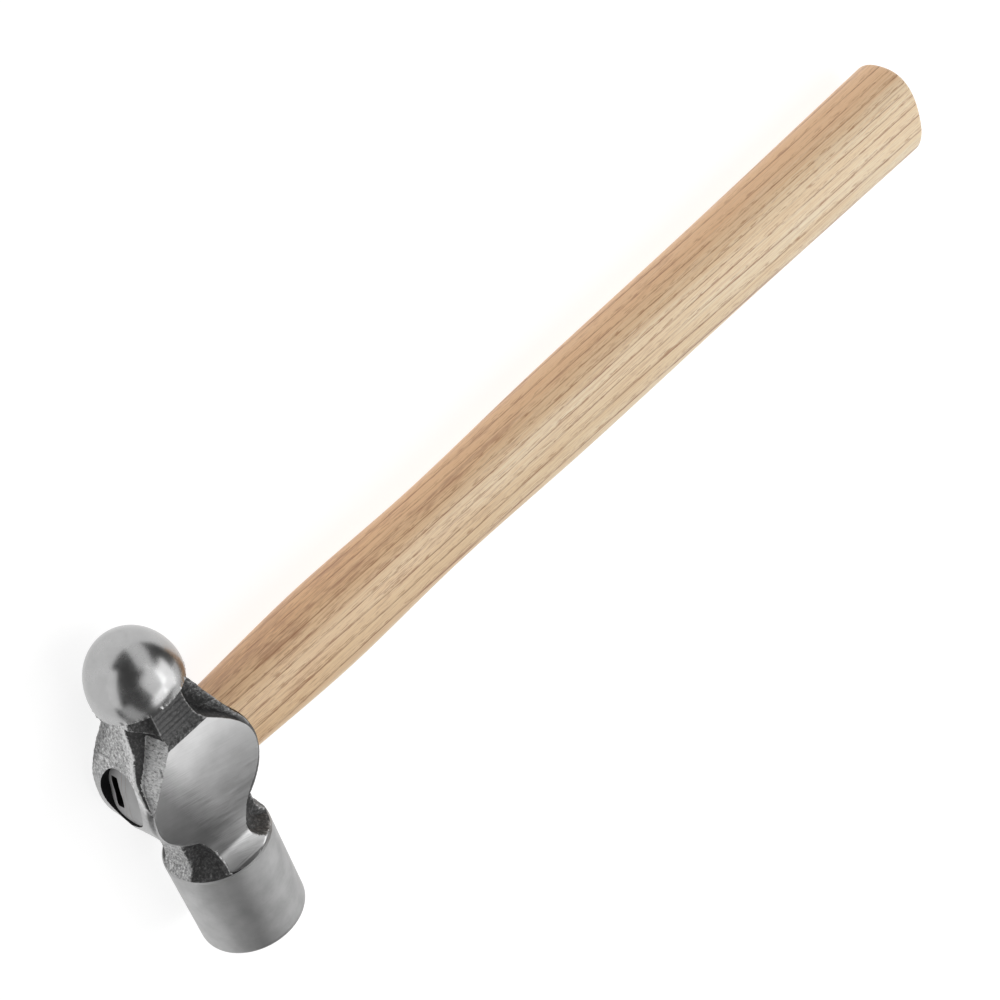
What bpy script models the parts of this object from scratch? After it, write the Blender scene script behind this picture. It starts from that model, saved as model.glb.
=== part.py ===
"""Ball peen hammer: a forged steel head on a wedged ash handle, lying on its side.

X runs along the handle to its butt, Y along the head to the ball, Z up through a cheek.
The shapes are drawn about the middle of the eye, and the hammer_frame empty sets them down
so that the world origin is under the middle of the hammer, on the surface it lies on.
"""
import math

import bmesh
import bpy

# Driving dimensions in metres, places measured from the middle of the eye

# Striking face: a plain turned poll, a touch wider at its shoulder
FACE_END = 0.0795
FACE_RADIUS = 0.0196
FACE_EDGE_RADIUS = 0.0020
SHOULDER_AT = 0.0397
SHOULDER_RADIUS = 0.0200

# Ball pein: a domed end on a short straight skirt, cut off square above the neck
BALL_TOP_AT = 0.0600
BALL_WIDEST_AT = 0.0400
BALL_RADIUS = 0.0170
BALL_RIM_AT = 0.0356
BALL_RIM_RADIUS = 0.0168

# Round cores of the neck and of the waist, bare between the ribs
NECK_CORE_RADIUS = 0.0120
WAIST_CORE_RADIUS = 0.0140
WAIST_FLOOR_AT = 0.0338

# Eye body: a round boss for the eye with its axis through the cheeks, set a little toward the
# face, narrowed toward the ball, and a smaller disc in it that carries the two flat cheeks
BOSS_AT = -0.0010
BOSS_RADIUS = 0.0248
BOSS_WIDTH = 0.0284
BOSS_FULL_AT = 0.0050
DISC_RADIUS = 0.0234
DISC_WIDTH = 0.0190
CHEEK_RADIUS = 0.0218
CHEEK_WIDTH = 0.0307

# Ribs from the eye body to the face and to the ball, under the cheeks and along the eye ends
RIB_DROP = 0.0002
RIB_LAND = 0.0008
WAIST_CHEEK_LEVEL = 0.0146
WAIST_CHEEK_WIDTH = 0.0164
WAIST_END_LEVEL = 0.0157
WAIST_END_WIDTH = 0.0144
WAIST_FLARE_RADIUS = 0.0082
NECK_CHEEK_AT = 0.0202
NECK_CHEEK_LEVEL = 0.0128
NECK_CHEEK_WIDTH = 0.0128
NECK_END_AT = 0.0119
NECK_END_LEVEL = 0.0126
NECK_END_WIDTH = 0.0124
NECK_FLARE_RADIUS = 0.0062

# Eye: an oval hole, narrowest inside and wider at both mouths
EYE_LENGTH = 0.0266
EYE_WIDTH = 0.0204
EYE_THROAT_LENGTH = 0.0240
EYE_THROAT_WIDTH = 0.0180
EYE_THROAT_AT = 0.0020
EYE_SQUARENESS = 2.0
EYE_CLEARANCE = 0.0003

# Handle: rounded oval sections, wide along the head
HANDLE_ASPECT = 1.30
HANDLE_SQUARENESS = 2.5
ROOT_AT = 0.0205
ROOT_WIDTH = 0.0302
SWELL_AT = 0.0676
SWELL_WIDTH = 0.0340
WAIST_AT = 0.1250
WAIST_WIDTH = 0.0322
GRIP_AT = 0.1945
GRIP_WIDTH = 0.0352
PALM_AT = 0.2765
PALM_WIDTH = 0.0364
BUTT_AT = 0.3890
BUTT_WIDTH = 0.0398
BUTT_EDGE_RADIUS = 0.0030
TENON_RECESS = 0.0041

# Wedges in the end of the tenon
WOOD_WEDGE_LENGTH = 0.0280
WOOD_WEDGE_THICKNESS = 0.0036
WOOD_WEDGE_TIP = 0.0012
STEEL_WEDGE_LENGTH = 0.0180
STEEL_WEDGE_WIDTH = 0.0140
STEEL_WEDGE_THICKNESS = 0.0024
STEEL_WEDGE_TIP = 0.0008
STEEL_WEDGE_OFFSET = 0.0054
STEEL_WEDGE_SUNK = 0.0015
WEDGE_CLEARANCE = 0.0003

# Facets of the round shapes, the turn in degrees that shades as an edge, the reach of a
# cutter past what it cuts, and the gap that is welded shut
TURNED_STEPS = 64
BALL_STEPS = 14
ARC_STEPS = 8
OVAL_STEPS = 40
HANDLE_RINGS = 32
SHARP_ANGLE = 30.0
CUT_MARGIN = 0.0050
WELD = 0.00001

# Places that follow from the driving dimensions
TENON_END = -(BOSS_RADIUS - TENON_RECESS)
STEEL_WEDGE_START = TENON_END + STEEL_WEDGE_SUNK


def clear_scene():
    for obj in list(bpy.data.objects):
        bpy.data.objects.remove(obj, do_unlink=True)


def new_collection(name):
    collection = bpy.data.collections.new(name)
    bpy.context.scene.collection.children.link(collection)
    return collection


def new_material(name, colour, roughness, metallic):
    material = bpy.data.materials.new(name)
    material.use_nodes = True
    shader = material.node_tree.nodes["Principled BSDF"]
    shader.inputs["Base Color"].default_value = (*colour, 1.0)
    shader.inputs["Roughness"].default_value = roughness
    shader.inputs["Metallic"].default_value = metallic
    return material


def add_object(name, mesh, collection, frame):
    obj = bpy.data.objects.new(name, mesh)
    collection.objects.link(obj)
    obj.parent = frame
    if collection.name.endswith("cutters"):
        obj.hide_render = True
        obj.display_type = "WIRE"
    return obj


def finish(obj, material):
    """Give a piece its material, and smooth shading between its sharp edges."""
    obj.data.materials.append(material)
    obj.data.shade_smooth()
    obj.data.set_sharp_from_angle(angle=math.radians(SHARP_ANGLE))


def arc(centre, radius, start, end, steps):
    """Points of an arc in the plane, angles in degrees."""
    points = []
    for step in range(steps + 1):
        angle = math.radians(start + (end - start) * step / steps)
        points.append((centre[0] + radius * math.cos(angle), centre[1] + radius * math.sin(angle)))
    return points


def flare(low, high, high_at, radius, side):
    """Concave fillet that climbs from a level to a higher one at high_at.

    The points are (place, level) pairs, from the low end to the high end. side is -1 where the
    low end lies at larger places than high_at, and 1 where it lies at smaller ones.
    """
    sweep = math.acos(1.0 - (high - low) / radius)
    low_at = high_at - side * radius * math.sin(sweep)
    points = []
    for step in range(ARC_STEPS + 1):
        angle = sweep * step / ARC_STEPS
        points.append((low_at + side * radius * math.sin(angle), low + radius * (1.0 - math.cos(angle))))
    return points


def turned(name, profile, collection, frame):
    """Solid of revolution about its own Z axis. The profile runs from the top to the bottom."""
    mesh = bpy.data.meshes.new(name)
    edges = [(index, index + 1) for index in range(len(profile) - 1)]
    mesh.from_pydata([(radius, 0.0, height) for radius, height in profile], edges, [])
    obj = add_object(name, mesh, collection, frame)
    screw = obj.modifiers.new("turn", "SCREW")
    screw.steps = TURNED_STEPS
    screw.render_steps = TURNED_STEPS
    screw.use_merge_vertices = True
    screw.merge_threshold = WELD
    return obj


def extruded(name, outline, width, collection, frame):
    """Flat outline in the XY plane, thickened along Z by width, as a welded mesh."""
    curve = bpy.data.curves.new(name, "CURVE")
    curve.dimensions = "2D"
    curve.fill_mode = "BOTH"
    curve.extrude = width / 2.0
    spline = curve.splines.new("POLY")
    spline.points.add(len(outline) - 1)
    for point, (x, y) in zip(spline.points, outline):
        point.co = (x, y, 0.0, 1.0)
    spline.use_cyclic_u = True
    guide = bpy.data.objects.new(name + "_outline", curve)
    bpy.context.scene.collection.objects.link(guide)
    graph = bpy.context.evaluated_depsgraph_get()
    mesh = bpy.data.meshes.new_from_object(guide.evaluated_get(graph))
    bpy.data.objects.remove(guide)
    mesh.name = name
    body = bmesh.new()
    body.from_mesh(mesh)
    bmesh.ops.remove_doubles(body, verts=body.verts, dist=WELD)
    bmesh.ops.recalc_face_normals(body, faces=body.faces)
    body.to_mesh(mesh)
    body.free()
    return add_object(name, mesh, collection, frame)


def lofted(name, sections, squareness, collection, frame):
    """Skin over oval sections square to X, each one (place, length along Y, width along Z)."""
    body = bmesh.new()
    loops = []
    for place, length, width in sections:
        ring = []
        for step in range(OVAL_STEPS):
            angle = 2.0 * math.pi * step / OVAL_STEPS
            along = math.copysign(abs(math.cos(angle)) ** (2.0 / squareness), math.cos(angle))
            across = math.copysign(abs(math.sin(angle)) ** (2.0 / squareness), math.sin(angle))
            ring.append(body.verts.new((place, along * length / 2.0, across * width / 2.0)))
        loops.append([body.edges.new((ring[step - 1], ring[step])) for step in range(OVAL_STEPS)])
    for first, second in zip(loops, loops[1:]):
        bmesh.ops.bridge_loops(body, edges=first + second)
    bmesh.ops.holes_fill(body, edges=loops[0] + loops[-1], sides=OVAL_STEPS)
    bmesh.ops.recalc_face_normals(body, faces=body.faces)
    mesh = bpy.data.meshes.new(name)
    body.to_mesh(mesh)
    body.free()
    return add_object(name, mesh, collection, frame)


def combine(target, other, operation):
    modifier = target.modifiers.new(operation.lower() + "_" + other.name, "BOOLEAN")
    modifier.operation = operation
    modifier.object = other
    modifier.solver = "EXACT"


def smooth_value(stations, place):
    """Value at a place on the smooth curve through (place, value) stations."""
    last = len(stations) - 1
    index = 0
    while index < last - 1 and place > stations[index + 1][0]:
        index += 1
    (x0, v0), (x1, v1) = stations[index], stations[index + 1]
    before = stations[max(index - 1, 0)]
    after = stations[min(index + 2, last)]
    slope0 = (v1 - before[1]) / (x1 - before[0])
    slope1 = (after[1] - v0) / (after[0] - x0)
    span = x1 - x0
    t = (place - x0) / span
    start = (1.0 + 2.0 * t) * (1.0 - t) ** 2 * v0 + t * (1.0 - t) ** 2 * span * slope0
    end = t * t * (3.0 - 2.0 * t) * v1 + t * t * (t - 1.0) * span * slope1
    return start + end


def poll_and_ball_profile():
    """Outline of everything turned on the head's axis, from the ball down to the face."""
    dome_height = BALL_TOP_AT - BALL_WIDEST_AT
    dome = [(0.0, BALL_TOP_AT)]
    for x, rise in arc((0.0, 0.0), 1.0, 90.0, 0.0, BALL_STEPS)[1:]:
        dome.append((BALL_RADIUS * x, BALL_WIDEST_AT + dome_height * rise))
    edge_centre = (FACE_RADIUS - FACE_EDGE_RADIUS, FACE_EDGE_RADIUS - FACE_END)
    edge = arc(edge_centre, FACE_EDGE_RADIUS, 0.0, -90.0, ARC_STEPS)
    rim = [(BALL_RIM_RADIUS, BALL_RIM_AT)]
    neck = [(NECK_CORE_RADIUS, BALL_RIM_AT), (NECK_CORE_RADIUS, 0.0)]
    waist = [(WAIST_CORE_RADIUS, 0.0), (WAIST_CORE_RADIUS, -WAIST_FLOOR_AT)]
    shoulder = [(SHOULDER_RADIUS, -SHOULDER_AT)]
    return dome + rim + neck + waist + shoulder + edge + [(0.0, -FACE_END)]


def poll_trim_profile():
    """Round bar as thick as the poll's shoulder, which keeps the flared ribs inside it."""
    radius = SHOULDER_RADIUS - RIB_DROP
    top = BOSS_RADIUS + CUT_MARGIN
    return [(0.0, top), (radius, top), (radius, -FACE_END), (0.0, -FACE_END)]


def cheek_disc_profile():
    """Half outline of the disc between the cheeks, eased off toward each of them."""
    rim = [(CHEEK_RADIUS, CHEEK_WIDTH / 2.0), (DISC_RADIUS, DISC_WIDTH / 2.0)]
    lower = [(radius, -height) for radius, height in reversed(rim)]
    return [(0.0, CHEEK_WIDTH / 2.0)] + rim + lower + [(0.0, -CHEEK_WIDTH / 2.0)]


def mirrored(half):
    """Closed outline from its right half, given from bottom to top."""
    return half + [(-x, y) for x, y in reversed(half)]


def waist_rib_outline(level):
    """Rib through the waist at a level each side of the axis, flared out over the shoulder."""
    poll = flare(level, SHOULDER_RADIUS, RIB_LAND - SHOULDER_AT, WAIST_FLARE_RADIUS, -1.0)
    half = [(SHOULDER_RADIUS, -SHOULDER_AT - CUT_MARGIN)]
    half += [(x, y) for y, x in reversed(poll)]
    half += [(level, BOSS_AT)]
    return mirrored(half)


def neck_cheek_outline():
    """Rib from the top of both cheeks to the ball, necked in by a fillet."""
    level = CHEEK_WIDTH / 2.0 - RIB_DROP
    neck = flare(NECK_CHEEK_LEVEL, level, NECK_CHEEK_AT, NECK_FLARE_RADIUS, -1.0)
    half = [(level, BOSS_AT)]
    half += [(x, y) for y, x in reversed(neck)]
    half += [(NECK_CHEEK_LEVEL, BALL_RIM_AT + RIB_DROP)]
    return mirrored(half)


def eye_boss_outline(clearance):
    """Round outline of the boss with a straight slope up to the ball, grown by a clearance."""
    start = math.degrees(math.asin((NECK_END_AT - BOSS_AT) / BOSS_RADIUS))
    half = arc((0.0, BOSS_AT), BOSS_RADIUS + clearance, -90.0, start, TURNED_STEPS)[1:]
    half += [(NECK_END_LEVEL + clearance, BALL_RIM_AT + RIB_DROP)]
    return mirrored(half)


def boss_side_outline():
    """Outline of the boss seen along the handle, narrowed toward the ball."""
    half = [(BOSS_WIDTH / 2.0, BOSS_AT - BOSS_RADIUS - CUT_MARGIN)]
    half += [(BOSS_WIDTH / 2.0, BOSS_FULL_AT)]
    half += [(NECK_END_WIDTH / 2.0, BALL_RIM_AT + CUT_MARGIN)]
    return mirrored(half)


def eye_sections(clearance):
    """Sections of the eye through the whole head, made smaller all round by a clearance."""
    reach = BOSS_RADIUS + CUT_MARGIN
    shrink = 2.0 * clearance
    mouth = (EYE_LENGTH - shrink, EYE_WIDTH - shrink)
    throat = (EYE_THROAT_LENGTH - shrink, EYE_THROAT_WIDTH - shrink)
    return [(-reach, *mouth), (EYE_THROAT_AT, *throat), (reach, *mouth)]


def section_at(sections, place):
    """Section of a straight-sided oval passage at a place along it."""
    for first, second in zip(sections, sections[1:]):
        if place <= second[0]:
            break
    share = (place - first[0]) / (second[0] - first[0])
    return tuple(a + (b - a) * share for a, b in zip(first, second))


def handle_sections():
    """Sections of the shaped handle from inside the collar to the rounded butt."""
    stations = [
        (ROOT_AT, ROOT_WIDTH),
        (SWELL_AT, SWELL_WIDTH),
        (WAIST_AT, WAIST_WIDTH),
        (GRIP_AT, GRIP_WIDTH),
        (PALM_AT, PALM_WIDTH),
        (BUTT_AT, BUTT_WIDTH),
    ]
    straight_end = BUTT_AT - BUTT_EDGE_RADIUS
    sections = []
    for ring in range(HANDLE_RINGS + 1):
        place = ROOT_AT + (straight_end - ROOT_AT) * ring / HANDLE_RINGS
        width = smooth_value(stations, place)
        sections.append((place, width, width / HANDLE_ASPECT))
    end_width = sections[-1][1]
    for place, inset in arc((straight_end, 0.0), BUTT_EDGE_RADIUS, 90.0, 0.0, ARC_STEPS)[1:]:
        trim = 2.0 * (BUTT_EDGE_RADIUS - inset)
        sections.append((place, end_width - trim, end_width / HANDLE_ASPECT - trim))
    return sections


def wedge_outline(start, length, thickness, tip):
    """Tapered outline along X, thick at its start."""
    end = start + length
    return [(start, -thickness / 2.0), (end, -tip / 2.0), (end, tip / 2.0), (start, thickness / 2.0)]


def slot_outline(start, length, thickness, tip, clearance):
    """Outline of the slot that a wedge sits in, open past the end of the tenon."""
    mouth = thickness / 2.0 + clearance
    floor = tip / 2.0 + clearance
    end = start + length + clearance
    upper = [(end, floor), (start, mouth), (TENON_END - CUT_MARGIN, mouth)]
    return [(x, -z) for x, z in reversed(upper)] + upper


def stand_across(obj, height):
    """Turn an outline drawn in XY to lie in XZ at a height, with its thickness along Y."""
    obj.rotation_euler.x = math.radians(90.0)
    obj.location.z = height


clear_scene()
parts = new_collection("ball_peen_hammer")
cutters = new_collection("ball_peen_hammer_cutters")

frame = bpy.data.objects.new("hammer_frame", None)
frame.location.x = (BOSS_RADIUS - BUTT_AT) / 2.0
frame.location.y = (FACE_END - BALL_TOP_AT) / 2.0
frame.location.z = SHOULDER_RADIUS
parts.objects.link(frame)

# Head: turned poll and ball, joined by the eye body and its ribs, then pierced by the eye
head = turned("head", poll_and_ball_profile(), parts, frame)
head.rotation_euler.x = math.radians(-90.0)
cheek_disc = turned("cheek_disc", cheek_disc_profile(), cutters, frame)
cheek_disc.location.y = BOSS_AT
eye_boss = extruded("eye_boss", eye_boss_outline(0.0), BOSS_WIDTH + CUT_MARGIN, cutters, frame)
boss_sides = extruded("boss_sides", boss_side_outline(), 2.0 * BOSS_RADIUS + CUT_MARGIN, cutters, frame)
boss_sides.rotation_euler.y = math.radians(-90.0)
poll_trim = turned("poll_trim", poll_trim_profile(), cutters, frame)
poll_trim.rotation_euler.x = math.radians(-90.0)
cheek_outline = waist_rib_outline(WAIST_CHEEK_LEVEL)
waist_cheek = extruded("waist_cheek", cheek_outline, WAIST_CHEEK_WIDTH, cutters, frame)
waist_cheek.rotation_euler.y = math.radians(-90.0)
end_outline = waist_rib_outline(WAIST_END_LEVEL)
waist_end = extruded("waist_end", end_outline, WAIST_END_WIDTH, cutters, frame)
neck_cheek = extruded("neck_cheek", neck_cheek_outline(), NECK_CHEEK_WIDTH, cutters, frame)
neck_cheek.rotation_euler.y = math.radians(-90.0)
eye = lofted("eye", eye_sections(0.0), EYE_SQUARENESS, cutters, frame)
combine(eye_boss, boss_sides, "INTERSECT")
combine(waist_cheek, poll_trim, "INTERSECT")
combine(waist_end, poll_trim, "INTERSECT")
for shape in (cheek_disc, eye_boss, waist_cheek, waist_end, neck_cheek):
    combine(head, shape, "UNION")
combine(head, eye, "DIFFERENCE")
finish(head, new_material("satin_steel", (0.42, 0.42, 0.42), 0.35, 1.0))

# Handle: shaped outside, seated round the eye body, with a tenon that fills the eye
handle = lofted("handle", handle_sections(), HANDLE_SQUARENESS, parts, frame)
seat = extruded("seat", eye_boss_outline(EYE_CLEARANCE), 2.0 * BOSS_RADIUS, cutters, frame)
passage = eye_sections(EYE_CLEARANCE)
tenon_sections = [section_at(passage, TENON_END)] + passage[1:]
tenon = lofted("tenon", tenon_sections, EYE_SQUARENESS, cutters, frame)
kerf_size = (WOOD_WEDGE_LENGTH, WOOD_WEDGE_THICKNESS, WOOD_WEDGE_TIP)
kerf = extruded("kerf", slot_outline(TENON_END, *kerf_size, WEDGE_CLEARANCE), EYE_LENGTH, cutters, frame)
stand_across(kerf, 0.0)
pocket_size = (STEEL_WEDGE_LENGTH, STEEL_WEDGE_THICKNESS, STEEL_WEDGE_TIP)
pocket_outline = slot_outline(STEEL_WEDGE_START, *pocket_size, WEDGE_CLEARANCE)
pocket = extruded("pocket", pocket_outline, STEEL_WEDGE_WIDTH + 2.0 * WEDGE_CLEARANCE, cutters, frame)
stand_across(pocket, -STEEL_WEDGE_OFFSET)
combine(handle, seat, "DIFFERENCE")
combine(handle, tenon, "UNION")
combine(handle, kerf, "DIFFERENCE")
combine(handle, pocket, "DIFFERENCE")
finish(handle, new_material("ash", (0.62, 0.45, 0.28), 0.55, 0.0))

# Wooden wedge: fills the kerf, flush with the end of the tenon
wood_wedge_width = EYE_THROAT_LENGTH - 4.0 * EYE_CLEARANCE
wood_wedge = extruded("wood_wedge", wedge_outline(TENON_END, *kerf_size), wood_wedge_width, parts, frame)
stand_across(wood_wedge, 0.0)
finish(wood_wedge, new_material("beech", (0.50, 0.38, 0.25), 0.6, 0.0))

# Steel wedge: driven beside it, sunk below the end of the tenon
steel_outline = wedge_outline(STEEL_WEDGE_START, *pocket_size)
steel_wedge = extruded("steel_wedge", steel_outline, STEEL_WEDGE_WIDTH, parts, frame)
stand_across(steel_wedge, -STEEL_WEDGE_OFFSET)
finish(steel_wedge, new_material("dark_steel", (0.05, 0.05, 0.05), 0.5, 1.0))
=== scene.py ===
"""Ball peen hammer lying on a pale studio floor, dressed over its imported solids.

Everything is in metres in the solids' own frame: X along the handle to its butt, Y along the
head to the ball, Z up through a cheek.
"""
import math

import bmesh
import bpy
import numpy as np
from mathutils import Matrix, Vector, noise


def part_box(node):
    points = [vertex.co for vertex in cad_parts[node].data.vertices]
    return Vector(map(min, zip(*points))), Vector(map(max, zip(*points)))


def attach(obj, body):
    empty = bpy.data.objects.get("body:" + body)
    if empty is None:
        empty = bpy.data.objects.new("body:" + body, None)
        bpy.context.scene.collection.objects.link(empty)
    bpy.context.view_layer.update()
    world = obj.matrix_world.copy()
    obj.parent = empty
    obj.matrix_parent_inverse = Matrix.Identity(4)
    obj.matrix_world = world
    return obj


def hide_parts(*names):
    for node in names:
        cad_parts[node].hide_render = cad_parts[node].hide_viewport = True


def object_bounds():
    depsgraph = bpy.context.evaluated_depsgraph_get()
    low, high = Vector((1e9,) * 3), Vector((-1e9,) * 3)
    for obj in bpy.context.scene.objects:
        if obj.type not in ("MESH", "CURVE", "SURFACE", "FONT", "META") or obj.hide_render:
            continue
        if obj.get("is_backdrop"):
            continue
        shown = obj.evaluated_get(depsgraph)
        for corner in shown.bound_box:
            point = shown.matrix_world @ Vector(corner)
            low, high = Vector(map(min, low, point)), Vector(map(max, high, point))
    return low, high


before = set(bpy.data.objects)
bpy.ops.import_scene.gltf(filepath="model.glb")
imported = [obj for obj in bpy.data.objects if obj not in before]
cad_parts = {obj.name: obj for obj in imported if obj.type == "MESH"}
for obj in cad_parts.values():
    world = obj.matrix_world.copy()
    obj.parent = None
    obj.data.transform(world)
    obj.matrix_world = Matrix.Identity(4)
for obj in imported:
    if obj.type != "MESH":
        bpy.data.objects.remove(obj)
cad_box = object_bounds()

# Head: one steel forging, struck to shape in dies, then turned at the ball and the face and
# ground nearly flat on both cheeks. Its skin stays black in the neck and the waist, and is rubbed to
# grey steel on the eye ends, with painted shade darker toward the handle and in the recesses. The
# ground faces carry a painted shade ramp. The oval eye through the head takes the handle's tenon.
FACE_END = 0.0795
FACE_RADIUS = 0.0196
FACE_EDGE_RADIUS = 0.0022
FACE_EDGE_STEPS = 8
POLL_RINGS = 24
SHOULDER_AT = -0.0397
SHOULDER_RADIUS = 0.0200

BALL_TOP_AT = 0.0600
BALL_WIDEST_AT = 0.0400
BALL_RADIUS = 0.0169
BALL_RINGS = 48
BALL_SKIRT_SHARES = (0.33, 0.66, 0.9)
BALL_RIM_AT = 0.0364
BALL_RIM_RADIUS = 0.0166
BALL_RIM_TILT = 0.0012
BALL_RIM_TILT_TOWARD = math.radians(25.0)
BALL_TILT_FROM = 0.0250
BALL_TILT_TO = 0.0500
BALL_BURR = 0.0007
BALL_BURR_PER_M = 800.0

BLANK_RADIUS = 0.0130
FORGE_PITCH = 0.0004
HEAD_STEPS = 240

CHEEK_LEVEL = 0.01535
GRINDING_STOCK = 0.0008
CHEEK_CENTRE_RISE = 0.0002
CHEEK_DOME = 0.0008
CHEEK_CROWN = 0.0001
CHEEK_REACH = 0.0217
CHEEK_DRAFT = 0.10
CHEEK_EYE_SIDE = (
    (-0.0390, 0.0096), (-0.0365, 0.0082), (-0.0313, 0.0082), (-0.0255, 0.0097), (-0.0205, 0.0122),
    (-0.0158, 0.0173), (-0.0106, 0.0218), (-0.0057, 0.0234), (-0.0009, 0.0232), (0.0036, 0.0222),
    (0.0074, 0.0200), (0.0108, 0.0174), (0.0133, 0.0149), (0.0156, 0.0124), (0.0180, 0.0099),
    (0.0198, 0.0080), (0.0225, 0.0068), (0.0270, 0.0061), (0.0380, 0.0060),
)
CHEEK_HANDLE_SIDE = (
    (-0.0390, 0.0150), (-0.0370, 0.0096), (-0.0350, 0.0072), (-0.0325, 0.0061), (-0.0286, 0.0065),
    (-0.0251, 0.0081), (-0.0217, 0.0099), (-0.0181, 0.0127), (-0.0143, 0.0166), (-0.0101, 0.0200),
    (-0.0038, 0.0226), (0.0046, 0.0223), (0.0111, 0.0189), (0.0165, 0.0143), (0.0205, 0.0103),
    (0.0230, 0.0086), (0.0270, 0.0075), (0.0380, 0.0070),
)

BOSS_AT = -0.0010
BOSS_RADIUS = 0.0246
BOSS_HANDLE_RIDGE = (
    (-0.0260, 0.0132), (-0.0100, 0.0140), (-0.0030, 0.0143), (0.0030, 0.0142), (0.0094, 0.0133),
    (0.0124, 0.0118), (0.0185, 0.0101), (0.0237, 0.0087), (0.0297, 0.0074), (0.0333, 0.0057),
    (0.0380, 0.0050),
)
BOSS_EYE_RIDGE = (
    (-0.0260, 0.0132), (-0.0100, 0.0140), (-0.0030, 0.0143), (0.0030, 0.0147), (0.0138, 0.0153),
    (0.0183, 0.0144), (0.0208, 0.0134), (0.0257, 0.0112), (0.0310, 0.0090), (0.0360, 0.0070),
)
BOSS_FAR_CREASE = (
    (0.0060, 0.0170), (0.0100, 0.0155), (0.0137, 0.0131), (0.0186, 0.0095), (0.0244, 0.0060),
    (0.0297, 0.0035), (0.0360, 0.0010),
)
BOSS_FAR_SLOPE = 0.35
BOSS_EDGE_ROUND = 0.0030
BOSS_EDGE_FADE = (0.0020, 0.0140)
CHANNEL_FROM = 0.0010
CHANNEL_TO = 0.0130
CHANNEL_STEEPNESS = 0.85
NECK_CORE_RADIUS = 0.0118
NECK_CHEEK_AT = 0.0252
NECK_CHEEK_LEVEL = 0.0128
NECK_CHEEK_START = 0.0202
NECK_FLARE_RADIUS = 0.0062
NECK_END_AT = 0.0119
NECK_END_LEVEL = 0.0124
NECK_RIDGE_PITCH = 0.0020
NECK_RIDGE_HEIGHT = 0.00016

WAIST_CORE_RADIUS = 0.0138
WAIST_FLOOR_AT = -0.0325
WAIST_FLOOR_BEND = 2.2
WAIST_CHEEK_LEVEL = 0.0146
WAIST_DIP_FROM = -0.0170
WAIST_DIP_TO = -0.0290
WAIST_END_LEVEL = 0.0157
WAIST_END_WIDTH = 0.0146
WAIST_FLARE_RADIUS = 0.0082
WAIST_CHEEK_FLARE_AT = -0.0314
WAIST_END_FLARE_AT = -0.0319

# Painted shade ramp on the ground faces: its slope along X and Y, and where it starts.
CHEEK_SHADE_SLOPE = (72.0, 22.0)
CHEEK_SHADE_START = 0.95
TURNED_BAND = 0.0020

FILLET = 0.0012
EDGE_EASE = 0.0005
SKIN_SWELL = 0.00025
SKIN_SWELL_PER_M = 260.0
SKIN_PITS = 0.00016
SKIN_PITS_PER_M = 900.0
SKIN_PITS_DETAIL = (1.0, 2.0, 3)
SHARP_ANGLE = math.radians(35.0)

EYE_END_WEAR = 0.72
EYE_WALL_WEAR = 0.75
EYE_WALL_FROM = -0.0200
FAR_SLOPE_WEAR = 0.45
CHEEK_SIDE_WEAR = 0.60
CHEEK_WALL_WEAR = 0.15
CHANNEL_WEAR = 0.05
CHANNEL_WEAR_FADE = (-0.0010, 0.0070)
NECK_FACET_WEAR = 0.20
WAIST_END_WEAR = 0.65
WAIST_END_TOP_WEAR = 0.10
CORE_WEAR = 0.08
GROUND_WEAR = 2.0
CLEANED_FROM = 1.3
ROUGH_UP_TO = 0.9
WEAR_SEAM = (0.35, 0.65)

DRESSED_SIDE = (0.62, 0.80)
DRESSED_TOP = (0.0060, 0.0120)
DRESSED_FOOT = (-0.0260, -0.0220)
DRESSED_SMOOTHNESS = 0.85
FACET_SIDE = (0.80, 0.90)
FACET_SMOOTHNESS = 0.6

SAME_PLACE = 1e-6
LEAST_SINE = 1e-4
LEAST_FALL = 1e-3
FLARE_RUN = 0.97
NO_LIMIT = 1.0

head_low, head_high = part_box("head")
eye_centre = Vector((
    (head_low[0] + head_high[0]) / 2.0, head_low[1] + FACE_END, (head_low[2] + head_high[2]) / 2.0,
))


def start_material(name):
    """New material with its nodes, its links, its shader and its Object coordinates."""
    material = bpy.data.materials.new(name)
    material.use_nodes = True
    nodes = material.node_tree.nodes
    coordinates = nodes.new("ShaderNodeTexCoord").outputs["Object"]
    return material, nodes, material.node_tree.links, nodes["Principled BSDF"], coordinates


def stretched(nodes, links, coordinates, scale, turn=(0.0, 0.0, 0.0)):
    """Coordinates stretched by a different factor along each axis, then turned."""
    mapping = nodes.new("ShaderNodeMapping")
    mapping.inputs["Scale"].default_value = scale
    mapping.inputs["Rotation"].default_value = turn
    links.new(coordinates, mapping.inputs["Vector"])
    return mapping.outputs["Vector"]


def mottle(nodes, links, coordinates, scale, detail=4.0, roughness=0.55):
    """Noise from 0 to 1 over some coordinates."""
    cloud = nodes.new("ShaderNodeTexNoise")
    cloud.inputs["Scale"].default_value = scale
    cloud.inputs["Detail"].default_value = detail
    cloud.inputs["Roughness"].default_value = roughness
    links.new(coordinates, cloud.inputs["Vector"])
    return cloud.outputs["Fac"]


def graded(nodes, links, value, stops):
    """Colour or grey picked from a value by stops of (place, colour)."""
    ramp = nodes.new("ShaderNodeValToRGB")
    while len(ramp.color_ramp.elements) < len(stops):
        ramp.color_ramp.elements.new(0.5)
    for element, (place, colour) in zip(ramp.color_ramp.elements, stops):
        element.position = place
        element.color = (*colour, 1.0)
    links.new(value, ramp.inputs["Fac"])
    return ramp.outputs["Color"]


def combined(nodes, links, operation, first, second, third=None):
    """Arithmetic on node outputs and numbers."""
    arithmetic = nodes.new("ShaderNodeMath")
    arithmetic.operation = operation
    for socket, term in zip(arithmetic.inputs, (first, second, third)):
        if isinstance(term, (int, float)):
            socket.default_value = term
        elif term is not None:
            links.new(term, socket)
    return arithmetic.outputs["Value"]


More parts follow.
